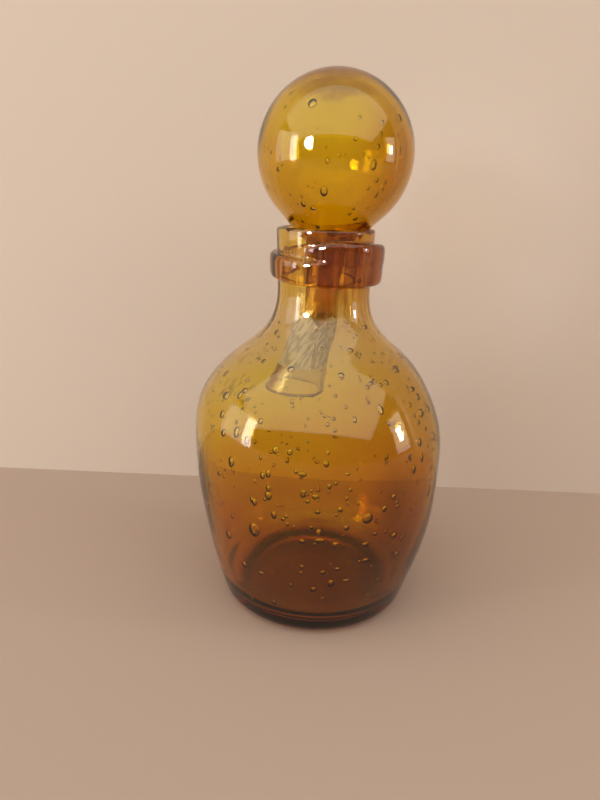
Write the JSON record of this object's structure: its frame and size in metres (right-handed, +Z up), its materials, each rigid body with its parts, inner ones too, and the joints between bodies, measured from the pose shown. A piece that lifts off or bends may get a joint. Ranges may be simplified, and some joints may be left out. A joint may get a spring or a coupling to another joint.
{
  "type": "decanter",
  "caption": "Hand-blown amber seeded-glass decanter with an egg-shaped body, a wound glass trail round the neck and a hollow ball stopper that lifts out.",
  "frame": {"origin": "centre of the base, on the surface that the decanter stands on", "axes": "+Z up along the bottle's axis; +X towards the side that the stopper's ball leans to, which is the right-hand side in the picture; -Y towards the viewer"},
  "size_m": [0.1362, 0.1362, 0.2791],
  "materials": {
    "amber_glass": "fire-polished, streaked, seeded with small bubbles",
    "pale_glass": "ground round its middle, clear at its flared end"
  },
  "bodies": {
    "bottle_body": {"bottle": "amber_glass", "neck_trail": "amber_glass"},
    "stopper": {"stopper_ball": "amber_glass", "stopper_shank": "pale_glass"}
  },
  "joints": [
    {"name": "stopper_lift", "type": "slide", "parent": "bottle_body", "child": "stopper", "axis": [0.2079, 0, 0.9781], "range_m": [0, 0.1]}
  ]
}
